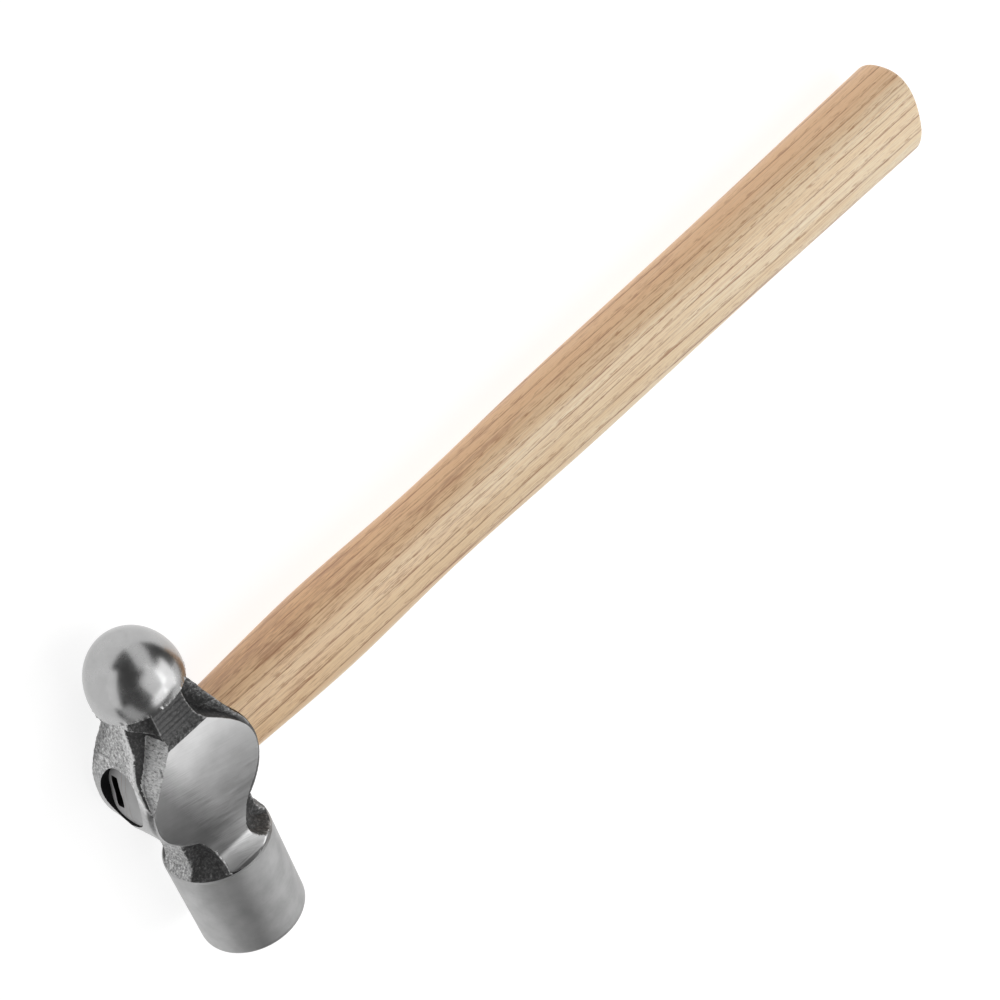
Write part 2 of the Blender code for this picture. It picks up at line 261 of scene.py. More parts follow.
def mixed(nodes, links, share, first, second):
    """One colour laid over another by a share from 0 to 1."""
    mix = nodes.new("ShaderNodeMix")
    mix.data_type = "RGBA"
    links.new(share, mix.inputs["Factor"])
    links.new(first, mix.inputs["A"])
    mix.inputs["B"].default_value = (*second, 1.0)
    return mix.outputs["Result"]


def painted(nodes, name):
    """Value of a named layer of the mesh."""
    layer = nodes.new("ShaderNodeAttribute")
    layer.attribute_name = name
    return layer.outputs["Fac"]


def raised(nodes, links, height, distance, strength, shader):
    """Fine relief of the surface from a height between 0 and 1."""
    bump = nodes.new("ShaderNodeBump")
    bump.inputs["Distance"].default_value = distance
    bump.inputs["Strength"].default_value = strength
    links.new(height, bump.inputs["Height"])
    links.new(bump.outputs["Normal"], shader.inputs["Normal"])


def grey(level):
    """Colour with the same level of red, green and blue."""
    return (level, level, level)


polished_steel, nodes, links, shader, coordinates = start_material("polished_steel")
shader.inputs["Metallic"].default_value = 1.0
lathe_lines = mottle(nodes, links, stretched(nodes, links, coordinates, (40.0, 2600.0, 40.0)), 1.0, 2.0)
clouds = mottle(nodes, links, coordinates, 130.0, 3.0)
tone = graded(nodes, links, combined(nodes, links, "MULTIPLY_ADD", lathe_lines, 0.2, clouds),
              [(0.40, grey(0.39)), (0.80, grey(0.46))])
links.new(tone, shader.inputs["Base Color"])
dullness = graded(nodes, links, clouds, [(0.35, grey(0.22)), (0.65, grey(0.29))])
links.new(dullness, shader.inputs["Roughness"])
raised(nodes, links, lathe_lines, 0.00001, 0.15, shader)

brushed_steel, nodes, links, shader, coordinates = start_material("brushed_steel")
shader.inputs["Metallic"].default_value = 1.0
lathe_lines = mottle(nodes, links, stretched(nodes, links, coordinates, (90.0, 4200.0, 90.0)), 1.0, 3.0)
clouds = mottle(nodes, links, coordinates, 150.0, 4.0)
tone = graded(nodes, links, combined(nodes, links, "MULTIPLY_ADD", lathe_lines, 0.5, clouds),
              [(0.55, grey(0.40)), (0.95, grey(0.50))])
links.new(tone, shader.inputs["Base Color"])
dullness = graded(nodes, links, lathe_lines, [(0.3, grey(0.48)), (0.7, grey(0.56))])
links.new(dullness, shader.inputs["Roughness"])
raised(nodes, links, lathe_lines, 0.00002, 0.3, shader)

ground_steel, nodes, links, shader, coordinates = start_material("ground_steel")
shader.inputs["Metallic"].default_value = 1.0
swept = stretched(nodes, links, coordinates, (1.0, 1.0, 1.0), (0.0, 0.0, 0.28))
belt_marks = mottle(nodes, links, stretched(nodes, links, swept, (110.0, 3200.0, 300.0)), 1.0, 3.0)
clouds = mottle(nodes, links, coordinates, 90.0, 4.0)
tone = graded(nodes, links, combined(nodes, links, "MULTIPLY_ADD", belt_marks, 0.4, clouds),
              [(0.45, grey(0.45)), (0.90, grey(0.57))])
parts = nodes.new("ShaderNodeSeparateXYZ")
links.new(coordinates, parts.inputs["Vector"])
# Painted shade: the ground faces darken toward the eye end away from the handle and toward the waist, a ramp
# standing in for the fall-off of their reflection.
from_eye = combined(nodes, links, "SUBTRACT", parts.outputs["X"], eye_centre.x)
to_ball = combined(nodes, links, "SUBTRACT", parts.outputs["Y"], eye_centre.y)
corner = combined(nodes, links, "MULTIPLY_ADD", from_eye, CHEEK_SHADE_SLOPE[0], CHEEK_SHADE_START)
corner = combined(nodes, links, "MULTIPLY_ADD", to_ball, CHEEK_SHADE_SLOPE[1], corner)
corner = combined(nodes, links, "MULTIPLY_ADD", belt_marks, 0.5, corner)
cheek_shade = graded(nodes, links, corner, [(0.20, grey(0.58)), (0.60, grey(0.32)), (1.00, grey(0.0))])
tone = mixed(nodes, links, cheek_shade, tone, grey(0.02))
turned_lines = mottle(nodes, links, stretched(nodes, links, coordinates, (60.0, 2600.0, 60.0)), 1.0, 2.0)
rim_start = SHOULDER_AT / TURNED_BAND + 1.0
near_rim = combined(nodes, links, "MULTIPLY_ADD", to_ball, -1.0 / TURNED_BAND, rim_start)
turned = combined(nodes, links, "ADD", near_rim, turned_lines)
turned = graded(nodes, links, turned, [(0.72, grey(0.0)), (0.98, grey(0.70))])
tone = mixed(nodes, links, turned, tone, grey(0.04))
links.new(tone, shader.inputs["Base Color"])
dullness = graded(nodes, links, belt_marks, [(0.3, grey(0.28)), (0.7, grey(0.36))])
links.new(dullness, shader.inputs["Roughness"])
raised(nodes, links, belt_marks, 0.00002, 0.4, shader)

forged_skin, nodes, links, shader, coordinates = start_material("forged_skin")
shader.inputs["Metallic"].default_value = 0.6
grain = mottle(nodes, links, coordinates, 1000.0, 4.0, 0.7)
uneven = combined(nodes, links, "SUBTRACT", grain, 0.5)
speckle = combined(nodes, links, "MULTIPLY", uneven, painted(nodes, "rough"))
# Lightness of the skin from a mesh layer of wear and painted shade: rubbed faces go grey, while the handle
# side and cut recesses stay dark.
wear_and_shade_level = combined(nodes, links, "MULTIPLY_ADD", speckle, 2.0, painted(nodes, "wear_and_shade"))
tone = graded(nodes, links, wear_and_shade_level,
              [(0.0, grey(0.050)), (0.35, grey(0.13)), (0.7, grey(0.38)), (1.0, grey(0.72))])
links.new(tone, shader.inputs["Base Color"])
dullness = graded(nodes, links, wear_and_shade_level, [(0.2, grey(0.52)), (0.9, grey(0.28))])
links.new(dullness, shader.inputs["Roughness"])
raised(nodes, links, speckle, 0.0005, 0.8, shader)

scraped_skin, nodes, links, shader, coordinates = start_material("scraped_skin")
shader.inputs["Metallic"].default_value = 0.8
grain = mottle(nodes, links, stretched(nodes, links, coordinates, (1600.0, 1600.0, 700.0)), 1.0, 4.0, 0.7)
tone = graded(nodes, links, grain, [(0.34, grey(0.14)), (0.46, grey(0.52)), (0.64, grey(0.78))])
links.new(tone, shader.inputs["Base Color"])
dullness = graded(nodes, links, grain, [(0.3, grey(0.40)), (0.7, grey(0.52))])
links.new(dullness, shader.inputs["Roughness"])
raised(nodes, links, grain, 0.0004, 0.7, shader)

# Eye bore: forging scale made almost black, so the far wall of the eye's mouth shows as shadow: part real
# scale, part painted shade.
bore_scale_and_shade, nodes, links, shader, coordinates = start_material("bore_scale_and_shade")
shader.inputs["Metallic"].default_value = 0.5
grain = mottle(nodes, links, coordinates, 1400.0, 3.0)
tone = graded(nodes, links, grain, [(0.3, grey(0.006)), (0.7, grey(0.016))])
links.new(tone, shader.inputs["Base Color"])
dullness = graded(nodes, links, grain, [(0.3, grey(0.6)), (0.7, grey(0.75))])
links.new(dullness, shader.inputs["Roughness"])
POLISHED, BRUSHED, GROUND, FORGED = range(4)


def smooth_value(stations, place):
    """Values at places on the smooth curve through (place, value) stations, held at both ends."""
    at, value = np.array(stations).T
    slope = np.gradient(value, at)
    place = np.clip(place, at[0], at[-1])
    index = np.clip(np.searchsorted(at, place) - 1, 0, len(at) - 2)
    span = at[index + 1] - at[index]
    t = (place - at[index]) / span
    start = (1.0 + 2.0 * t) * (1.0 - t) ** 2 * value[index] + t * (1.0 - t) ** 2 * span * slope[index]
    end = t * t * (3.0 - 2.0 * t) * value[index + 1] + t * t * (t - 1.0) * span * slope[index + 1]
    return start + end


def smooth_step(value, start, end):
    share = np.clip((value - start) / (end - start), 0.0, 1.0)
    return share * share * (3.0 - 2.0 * share)


def weld(first, second, width):
    """The further of two forms, each (reach, wear and painted shade), with a fillet of about that width
    between.
    """
    share = np.clip(0.5 + 0.5 * (first[0] - second[0]) / width, 0.0, 1.0)
    reach = second[0] + (first[0] - second[0]) * share + width * share * (1.0 - share)
    return reach, second[1] + (first[1] - second[1]) * smooth_step(share, *WEAR_SEAM)


def trim(first, second, width):
    """The nearer of two forms, with their meeting edge rounded over about that width."""
    share = np.clip(0.5 - 0.5 * (first[0] - second[0]) / width, 0.0, 1.0)
    reach = second[0] + (first[0] - second[0]) * share - width * share * (1.0 - share)
    return reach, second[1] + (first[1] - second[1]) * share


def cheek_height(place, side):
    """Height of the ground cheek, slightly domed both ways and dipping into the waist."""
    dome = CHEEK_DOME * (place - BOSS_AT) ** 2 + CHEEK_CROWN * side ** 2
    level = CHEEK_LEVEL + CHEEK_CENTRE_RISE - dome / CHEEK_REACH ** 2
    return level + (WAIST_CHEEK_LEVEL - level) * smooth_step(place, WAIST_DIP_FROM, WAIST_DIP_TO)


def flare(run, low, radius, top):
    """Level of a concave fillet that climbs from low over a run, up to a top."""
    run = np.clip(run, 0.0, FLARE_RUN * radius)
    return np.minimum(low + radius - np.sqrt(radius ** 2 - run ** 2), top)


def forged_form(place, angle):
    """How far the forging reaches from the head's axis, and how light its skin is there: wear, partly
    painted shade, since recesses and the handle side are kept darker.

    place runs along the axis from the middle of the eye to the ball, and angle turns from the
    upper cheek toward the handle. GROUND_WEAR marks a place that the grinder cleans.
    """
    across = np.maximum(np.abs(np.sin(angle)), LEAST_SINE)
    up = np.maximum(np.abs(np.cos(angle)), LEAST_SINE)
    handle_side = np.sin(angle) > 0.0
    stock = CHEEK_LEVEL + GRINDING_STOCK
    off = place - BOSS_AT

    boss_round = np.sqrt(np.maximum(BOSS_RADIUS ** 2 - off ** 2, SAME_PLACE))
    boss_corner = math.sqrt(BOSS_RADIUS ** 2 - (NECK_END_AT - BOSS_AT) ** 2)
    slope = np.interp(place, (NECK_END_AT, BALL_RIM_AT), (boss_corner, NECK_END_LEVEL))
    boss_half = np.where(place < NECK_END_AT, boss_round, slope)
    handle_ridge = smooth_value(BOSS_HANDLE_RIDGE, place)
    ridge = np.where(handle_side, handle_ridge, smooth_value(BOSS_EYE_RIDGE, place))
    steepness = CHANNEL_STEEPNESS * smooth_step(place, CHANNEL_FROM, CHANNEL_TO) * ridge / boss_half
    steepness = np.where(handle_side, steepness, 0.0)
    fall = up - steepness * across
    boss_top = (ridge - steepness * boss_half) / np.maximum(fall, LEAST_FALL)
    boss_top = np.where(fall > LEAST_FALL, boss_top, NO_LIMIT)
    top_wear = CHEEK_SIDE_WEAR + (CHANNEL_WEAR - CHEEK_SIDE_WEAR) * smooth_step(place, *CHANNEL_WEAR_FADE)
    edge_round = BOSS_EDGE_ROUND + (EDGE_EASE - BOSS_EDGE_ROUND) * smooth_step(place, *BOSS_EDGE_FADE)
    boss = trim((boss_half / across, EYE_END_WEAR), (boss_top, top_wear), edge_round)
    crease = boss_half + BOSS_FAR_SLOPE * smooth_value(BOSS_FAR_CREASE, place)
    far_reach = np.where(np.cos(angle) < 0.0, crease / (across + BOSS_FAR_SLOPE * up), NO_LIMIT)
    boss = trim(boss, (np.where(handle_side, NO_LIMIT, far_reach), FAR_SLOPE_WEAR), EDGE_EASE)
    boss = (np.where(off > -BOSS_RADIUS, boss[0], 0.0), boss[1])

    neck_up = flare(NECK_CHEEK_AT - place, NECK_CHEEK_LEVEL, NECK_FLARE_RADIUS, stock)
    ridged = smooth_step(place, NECK_CHEEK_START, NECK_CHEEK_AT)
    neck_up = neck_up + ridged * NECK_RIDGE_HEIGHT * np.sin(2.0 * math.pi * place / NECK_RIDGE_PITCH)
    flared = flare(WAIST_CHEEK_FLARE_AT - place, WAIST_CHEEK_LEVEL, WAIST_FLARE_RADIUS, SHOULDER_RADIUS)
    cheek_up = np.where(place < WAIST_DIP_TO, flared, neck_up)
    cheek_wear = np.where(place > NECK_CHEEK_START, NECK_FACET_WEAR, GROUND_WEAR)
    eye_half = smooth_value(CHEEK_EYE_SIDE, place)
    handle_half = smooth_value(CHEEK_HANDLE_SIDE, place)
    cheek_half = np.where(handle_side, handle_half, eye_half)
    wall = (cheek_half + CHEEK_DRAFT * CHEEK_LEVEL) / (across + CHEEK_DRAFT * up)
    dark_wall = handle_side | (place > NECK_CHEEK_START) | (place < EYE_WALL_FROM)
    wall_wear = np.where(dark_wall, CHEEK_WALL_WEAR, EYE_WALL_WEAR)
    cheek = trim((wall, wall_wear), (cheek_up / up, cheek_wear), EDGE_EASE)

    end_half = flare(WAIST_END_FLARE_AT - place, WAIST_END_LEVEL, WAIST_FLARE_RADIUS, SHOULDER_RADIUS)
    end_top = (WAIST_END_WIDTH / 2.0 / up, WAIST_END_TOP_WEAR)
    end = trim((end_half / across, WAIST_END_WEAR), end_top, EDGE_EASE)
    end = (np.where(place < BOSS_AT, end[0], 0.0), end[1])

    floor_share = np.clip((place - WAIST_FLOOR_AT) / (SHOULDER_AT - WAIST_FLOOR_AT), 0.0, 1.0)
    waist_core = WAIST_CORE_RADIUS + (SHOULDER_RADIUS - WAIST_CORE_RADIUS) * floor_share ** WAIST_FLOOR_BEND
    core = (np.where(place > 0.0, NECK_CORE_RADIUS, waist_core), np.full_like(place, CORE_WEAR))

    form = weld(core, end, FILLET)
    form = weld(form, boss, 0.5 * FILLET)
    form = weld(form, cheek, EDGE_EASE)
    rim = (np.full_like(place, SHOULDER_RADIUS - 0.5 * EDGE_EASE), form[1])
    trimmed = trim(form, rim, EDGE_EASE)
    return np.where(place < WAIST_FLOOR_AT, trimmed[0], form[0]), form[1]


def roughness_of_skin(place, angle):
    """Share of the full forging roughness: the ends of the eye are dressed smooth below the neck."""
    dressed = smooth_step(np.abs(np.sin(angle)), *DRESSED_SIDE) * smooth_step(place, *DRESSED_FOOT)
    dressed = dressed * (1.0 - smooth_step(place, *DRESSED_TOP))
    facet = smooth_step(place, NECK_CHEEK_START, NECK_CHEEK_AT) * smooth_step(np.cos(angle), *FACET_SIDE)
    return (1.0 - DRESSED_SMOOTHNESS * dressed) * (1.0 - FACET_SMOOTHNESS * facet)


def blank_profile():
    """Turned outline of the head as (radius, place) from the ball's pole to the face's centre."""
    points = []
    for ring in range(BALL_RINGS + 1):
        turn = math.pi / 2.0 * ring / BALL_RINGS
        dome = BALL_WIDEST_AT + (BALL_TOP_AT - BALL_WIDEST_AT) * math.cos(turn)
        points.append((BALL_RADIUS * math.sin(turn), dome))
    for share in BALL_SKIRT_SHARES:
        radius = BALL_RADIUS + (BALL_RIM_RADIUS - BALL_RADIUS) * share
        points.append((radius, BALL_WIDEST_AT + (BALL_RIM_AT - BALL_WIDEST_AT) * share))
    points.append((BALL_RIM_RADIUS - EDGE_EASE, BALL_RIM_AT))
    rings = round((BALL_RIM_AT - SHOULDER_AT) / FORGE_PITCH)
    for ring in range(rings):
        points.append((BLANK_RADIUS, BALL_RIM_AT - ring * FORGE_PITCH))
    points.append((SHOULDER_RADIUS - EDGE_EASE, SHOULDER_AT))
    edge_start = FACE_EDGE_RADIUS - FACE_END
    poll_start = SHOULDER_AT - EDGE_EASE
    for ring in range(POLL_RINGS + 1):
        share = ring / POLL_RINGS
        radius = SHOULDER_RADIUS + (FACE_RADIUS - SHOULDER_RADIUS) * share
        points.append((radius, poll_start + (edge_start - poll_start) * share))
    for step in range(1, FACE_EDGE_STEPS + 1):
        turn = math.pi / 2.0 * step / FACE_EDGE_STEPS
        radius = FACE_RADIUS - FACE_EDGE_RADIUS * (1.0 - math.cos(turn))
        points.append((radius, edge_start - FACE_EDGE_RADIUS * math.sin(turn)))
    points.append((0.0, -FACE_END))
    return points


def oval_loft(sections, squareness, steps):
    """Closed skin over oval sections square to X, each (place, length, width, shift along Y)."""
    body = bmesh.new()
    loops = []
    for place, length, width, shift in sections:
        ring = []
        for step in range(steps):
            turn = 2.0 * math.pi * step / steps
            along = math.copysign(abs(math.cos(turn)) ** (2.0 / squareness), math.cos(turn))
            across = math.copysign(abs(math.sin(turn)) ** (2.0 / squareness), math.sin(turn))
            ring.append(body.verts.new((place, shift + along * length / 2.0, across * width / 2.0)))
        loops.append([body.edges.new((ring[step - 1], ring[step])) for step in range(steps)])
    for first, second in zip(loops, loops[1:]):
        bmesh.ops.bridge_loops(body, edges=first + second)
    bmesh.ops.holes_fill(body, edges=loops[0] + loops[-1], sides=steps)
    bmesh.ops.recalc_face_normals(body, faces=body.faces)
    return body


def new_piece(name, body, materials):
    """Object at the origin from a bmesh drawn about the middle of the eye."""
    bmesh.ops.translate(body, verts=body.verts, vec=eye_centre)
    mesh = bpy.data.meshes.new(name)
    body.to_mesh(mesh)
    body.free()
    for material in materials:
        mesh.materials.append(material)
    piece = bpy.data.objects.new(name, mesh)
    bpy.context.scene.collection.objects.link(piece)
    return piece


def carve(piece, tool, operation):
    """Join a tool shape to a piece or cut it away, and keep the result as the piece's mesh."""
    boolean = piece.modifiers.new("carve", "BOOLEAN")
    boolean.operation = operation
    boolean.object = tool
    boolean.solver = "MANIFOLD"
    boolean.material_mode = "TRANSFER"
    graph = bpy.context.evaluated_depsgraph_get()
    result = bpy.data.meshes.new_from_object(piece.evaluated_get(graph))
    piece.modifiers.clear()
    piece.data = result
    bpy.data.objects.remove(tool)


blank = bmesh.new()
chain = [blank.verts.new((radius, place, 0.0)) for radius, place in blank_profile()]
outline = [blank.edges.new(pair) for pair in zip(chain, chain[1:])]
bmesh.ops.spin(
    blank, geom=chain + outline, cent=(0.0, 0.0, 0.0), axis=(0.0, 1.0, 0.0),
    angle=2.0 * math.pi, steps=HEAD_STEPS, use_merge=True,
)
bmesh.ops.remove_doubles(blank, verts=blank.verts, dist=SAME_PLACE)

blank.verts.ensure_lookup_table()
places = np.array([vert.co.y for vert in blank.verts])
radii = np.array([math.hypot(vert.co.x, vert.co.z) for vert in blank.verts])
angles = np.array([math.atan2(vert.co.x, vert.co.z) for vert in blank.verts])
struck = (np.abs(radii - BLANK_RADIUS) < SAME_PLACE) & (places > SHOULDER_AT)
struck = struck & (places < BALL_RIM_AT + SAME_PLACE)
reaches, wears = forged_form(places, angles)
roughs = roughness_of_skin(places, angles)
near_rim = smooth_step(places, BALL_TILT_FROM, BALL_RIM_AT)
near_rim = near_rim * (1.0 - smooth_step(places, BALL_RIM_AT, BALL_TILT_TO))
lifts = BALL_RIM_TILT * near_rim * np.cos(angles - BALL_RIM_TILT_TOWARD)
finish_of = {}
for index, vert in enumerate(list(blank.verts)):
    finish_of[vert] = POLISHED if places[index] > 0.0 else BRUSHED
    if struck[index]:
        finish_of[vert] = GROUND if wears[index] > CLEANED_FROM else FORGED
        vert.co.x = reaches[index] * math.sin(angles[index])
        vert.co.z = reaches[index] * math.cos(angles[index])
        if finish_of[vert] == FORGED:
            swell = noise.noise(vert.co * SKIN_SWELL_PER_M) * SKIN_SWELL
            pits = noise.fractal(vert.co * SKIN_PITS_PER_M, *SKIN_PITS_DETAIL) * SKIN_PITS
            kept = roughs[index] * (1.0 - smooth_step(wears[index], ROUGH_UP_TO, CLEANED_FROM))
            grown = 1.0 + (swell + pits) * kept / reaches[index]
            vert.co.x *= grown
            vert.co.z *= grown
    elif abs(places[index] - BALL_RIM_AT) < EDGE_EASE:
        burr = noise.noise(vert.co * BALL_BURR_PER_M)
        vert.co.y += BALL_BURR * burr
        vert.co.x *= 1.0 + BALL_BURR * burr / BALL_RIM_RADIUS
        vert.co.z *= 1.0 + BALL_BURR * burr / BALL_RIM_RADIUS
    vert.co.y += lifts[index]
for face in blank.faces:
    face.material_index = max(finish_of[vert] for vert in face.verts)


def on_cheek(point):
    """Whether a point lies along the stretch of the head that the grinder reaches."""
    return WAIST_CHEEK_FLARE_AT < point.y < NECK_CHEEK_AT


for side in (1.0, -1.0):
    belt = [face for face in blank.faces if on_cheek(face.calc_center_median())]
    touched = list(dict.fromkeys(vert for face in belt for vert in face.verts))
    seams = list(dict.fromkeys(edge for face in belt for edge in face.edges))
    bmesh.ops.bisect_plane(
        blank, geom=touched + seams + belt, dist=0.1 * SAME_PLACE,
        plane_co=(0.0, 0.0, side * CHEEK_LEVEL), plane_no=(0.0, 0.0, side),
    )
    for face in blank.faces:
        centre = face.calc_center_median()
        if on_cheek(centre) and side * centre.z > CHEEK_LEVEL:
            face.material_index = GROUND
    for vert in blank.verts:
        ground_to = cheek_height(vert.co.y, vert.co.x)
        if on_cheek(vert.co) and side * vert.co.z > ground_to:
            vert.co.z = side * ground_to
bmesh.ops.recalc_face_normals(blank, faces=blank.faces)
head = new_piece("hammer_head", blank, (polished_steel, brushed_steel, ground_steel, forged_skin))

GROOVE_FOOT = (
    (-0.0079, 0.0275, 0.0072), (-0.0082, 0.0240, 0.0066), (-0.0100, 0.0219, 0.0069),
    (-0.0118, 0.0197, 0.0073), (-0.0139, 0.0169, 0.0080), (-0.0162, 0.0139, 0.0090),
    (-0.0180, 0.0115, 0.0098), (-0.0194, 0.0092, 0.0111), (-0.0213, 0.0061, 0.0128),
    (-0.0230, 0.0033, 0.0146), (-0.0246, -0.0045, 0.0156),
)
GROOVE_RIDGE = (
    (-0.0136, 0.0330, 0.0056), (-0.0142, 0.0312, 0.0061), (-0.0154, 0.0277, 0.0077),
    (-0.0163, 0.0250, 0.0086), (-0.0177, 0.0210, 0.0086), (-0.0191, 0.0172, 0.0082),
    (-0.0204, 0.0133, 0.0085), (-0.0215, 0.0108, 0.0102), (-0.0226, 0.0084, 0.0130),
    (-0.0240, 0.0050, 0.0150), (-0.0254, -0.0045, 0.0160),
)
GROOVE_SAG = 0.0014
GROOVE_OVERRUN = 1.7
GROOVE_TOP = 0.0180
GROOVE_SECTIONS = 90
GROOVE_STEPS = 20
GROOVE_ROUGHNESS = 0.00022
GROOVE_SEED = 7
STRIP_EDGE = Vector((-0.00724, 0.01990, CHEEK_LEVEL))
STRIP_FACING = Vector((-0.739, 0.674, 0.0))
STRIP_DRAFT = 0.4
STRIP_DEPTH = 0.0006


def station_point(points, share):
    """Point on the smooth curve through a row of points, counted in points from the first."""
    count = range(len(points))
    return Vector([float(smooth_value(list(zip(count, axis)), share)) for axis in zip(*points)])


noise.seed_set(GROOVE_SEED)
groove = bmesh.new()
groove_shares = np.linspace(0.0, len(GROOVE_FOOT) - 1.0, GROOVE_SECTIONS)
loops = []
for share in groove_shares:
    foot = station_point(GROOVE_FOOT, share)
    outer = foot.lerp(station_point(GROOVE_RIDGE, share), GROOVE_OVERRUN)
    rise = GROOVE_TOP - foot.z
    crest = foot - STRIP_FACING * STRIP_DRAFT * rise + Vector((0.0, 0.0, rise))
    path = [foot.lerp(crest, step / GROOVE_STEPS) for step in range(GROOVE_STEPS + 1)]
    path.append(Vector((outer.x, outer.y, GROOVE_TOP)))
    for step in range(GROOVE_STEPS):
        run = 1.0 - step / GROOVE_STEPS
        sag = GROOVE_SAG * max(math.sin(math.pi * run * GROOVE_OVERRUN), 0.0)
        path.append(foot.lerp(outer, run) - sag * STRIP_FACING)
    ring = []
    for point in path:
        pitted = point + noise.noise_vector(point * SKIN_PITS_PER_M) * GROOVE_ROUGHNESS
        ring.append(groove.verts.new(pitted))
    loops.append([groove.edges.new((ring[step - 1], ring[step])) for step in range(len(ring))])
for first, second in zip(loops, loops[1:]):
    bmesh.ops.bridge_loops(groove, edges=first + second)
bmesh.ops.holes_fill(groove, edges=loops[0] + loops[-1], sides=0)
bmesh.ops.recalc_face_normals(groove, faces=groove.faces)
for face in groove.faces:
    middle = face.calc_center_median()
    lean = STRIP_FACING.dot(middle - STRIP_EDGE) - STRIP_DRAFT * (CHEEK_LEVEL - middle.z)
    face.material_index = 1 if abs(lean) < STRIP_DEPTH else 0
carve(head, new_piece("groove_tool", groove, (forged_skin, scraped_skin)), "DIFFERENCE")

EYE_REACH = 0.0298
EYE_SQUARENESS = 2.0
EYE_STEPS = 96
EYE_RINGS = 80
EYE_SECTIONS = (
    (-EYE_REACH, 0.0236, 0.0222, 0.0046),
    (-0.0230, 0.0228, 0.0214, 0.0044),
    (0.0020, 0.0220, 0.0180, 0.0010),
    (EYE_REACH, 0.0266, 0.0204, 0.0),
)
eye_places = [section[0] for section in EYE_SECTIONS]
eye_rings = []
for place in np.linspace(-EYE_REACH, EYE_REACH, EYE_RINGS):
    sizes = [float(np.interp(place, eye_places, column)) for column in list(zip(*EYE_SECTIONS))[1:]]
    eye_rings.append((place, *sizes))
eye = oval_loft(eye_rings, EYE_SQUARENESS, EYE_STEPS)
# The bore takes the almost black finish, part scale and part painted shade.
carve(head, new_piece("eye_tool", eye, (bore_scale_and_shade,)), "DIFFERENCE")
head.data.shade_smooth()
head.data.set_sharp_from_angle(angle=SHARP_ANGLE)

CUT_DEPTH = 0.0008
HANDLE_SIDE_SHADE = 0.55
HANDLE_SIDE_FADE = (-0.0040, 0.0080)
RUBBED_ANGLE = math.radians(38.0)
RUBBED_WEAR = 0.62
RIDGE_WEAR = 0.30
RIDGE_WEAR_REACH = 0.0045
RIDGE_WEAR_FADE = (0.0020, 0.0100)
# Layer of wear and painted shade on the head: eye ends shaded darker toward the handle, faces cut below the
# forging kept black, the groove's ridge and sharp convex edges rubbed lighter.
spots = np.empty(len(head.data.vertices) * 3)
head.data.vertices.foreach_get("co", spots)
spots = spots.reshape(-1, 3) - np.array(eye_centre)
angles = np.arctan2(spots[:, 0], spots[:, 2])
reaches, wears = forged_form(spots[:, 1], angles)
inside = np.hypot(spots[:, 0], spots[:, 2]) < reaches - CUT_DEPTH
eye_end = 1.0 - HANDLE_SIDE_SHADE * smooth_step(spots[:, 0], *HANDLE_SIDE_FADE)
ridge = [np.array(station_point(GROOVE_RIDGE, share)) for share in groove_shares]
from_ridge = np.min([np.linalg.norm(spots - point, axis=1) for point in ridge], axis=0)
rubbed = RIDGE_WEAR * (1.0 - smooth_step(from_ridge, 0.0, RIDGE_WEAR_REACH))
rubbed = rubbed * smooth_step(spots[:, 1], *RIDGE_WEAR_FADE)
wear_and_shade = np.where(inside, 0.0, np.clip(wears, 0.0, 1.0) * eye_end + rubbed)
corners = bmesh.new()
corners.from_mesh(head.data)
for edge in corners.edges:
    if edge.is_convex and edge.calc_face_angle(0.0) > RUBBED_ANGLE:
        for vert in edge.verts:
            wear_and_shade[vert.index] = max(wear_and_shade[vert.index], RUBBED_WEAR)
corners.free()
head.data.attributes.new("wear_and_shade", "FLOAT", "POINT").data.foreach_set("value", wear_and_shade.astype(np.float32))
rough = roughness_of_skin(spots[:, 1], angles)
head.data.attributes.new("rough", "FLOAT", "POINT").data.foreach_set("value", rough.astype(np.float32))
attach(head, "root")
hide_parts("head")

# Handle: one length of ash, shaped to an oval and sanded, with a thin clear coat. Its tenon is
# driven through the eye and its end is sealed grey. The outside butts on the body of the eye.
HANDLE_ASPECT = 1.30
HANDLE_SQUARENESS = 2.5
HANDLE_STATIONS = (
    (0.0205, 0.0302),
    (0.0676, 0.0340),
    (0.1250, 0.0322),
    (0.1945, 0.0352),
    (0.2765, 0.0364),
    (0.3890, 0.0398),
)
HANDLE_RINGS = 120
HANDLE_STEPS = 96
BUTT_EDGE_RADIUS = 0.0030
BUTT_EDGE_STEPS = 10
WOOD_SHARP_ANGLE = math.radians(40.0)
EYE_CLEARANCE = 0.0002
TENON_STEPS = 80
TENON_END_RINGS = 11
TENON_END_STEP = 0.0009
TENON_NEAR_RECESS = 0.0002
TENON_FAR_RECESS = 0.0036
TENON_FLUSH_AT = -0.0075
TENON_SUNK_AT = 0.0035
SEALED_SHARE = 0.72
SEAT_STEPS = 60

ash, nodes, links, shader, coordinates = start_material("ash")
shader.inputs["Coat Weight"].default_value = 0.45
shader.inputs["Coat Roughness"].default_value = 0.32
parts = nodes.new("ShaderNodeSeparateXYZ")
links.new(coordinates, parts.inputs["Vector"])
drift = mottle(nodes, links, stretched(nodes, links, coordinates, (3.0, 40.0, 40.0)), 1.0, 1.0)
waver = mottle(nodes, links, stretched(nodes, links, coordinates, (14.0, 200.0, 200.0)), 1.0, 2.0)
rings = combined(nodes, links, "MULTIPLY", parts.outputs["Y"], 195.0)
rings = combined(nodes, links, "MULTIPLY_ADD", parts.outputs["Z"], -190.0, rings)
rings = combined(nodes, links, "MULTIPLY_ADD", parts.outputs["X"], 3.0, rings)
rings = combined(nodes, links, "MULTIPLY_ADD", drift, 2.2, rings)
rings = combined(nodes, links, "MULTIPLY_ADD", waver, 0.22, rings)
ring_share = combined(nodes, links, "FRACT", rings, 0.0)
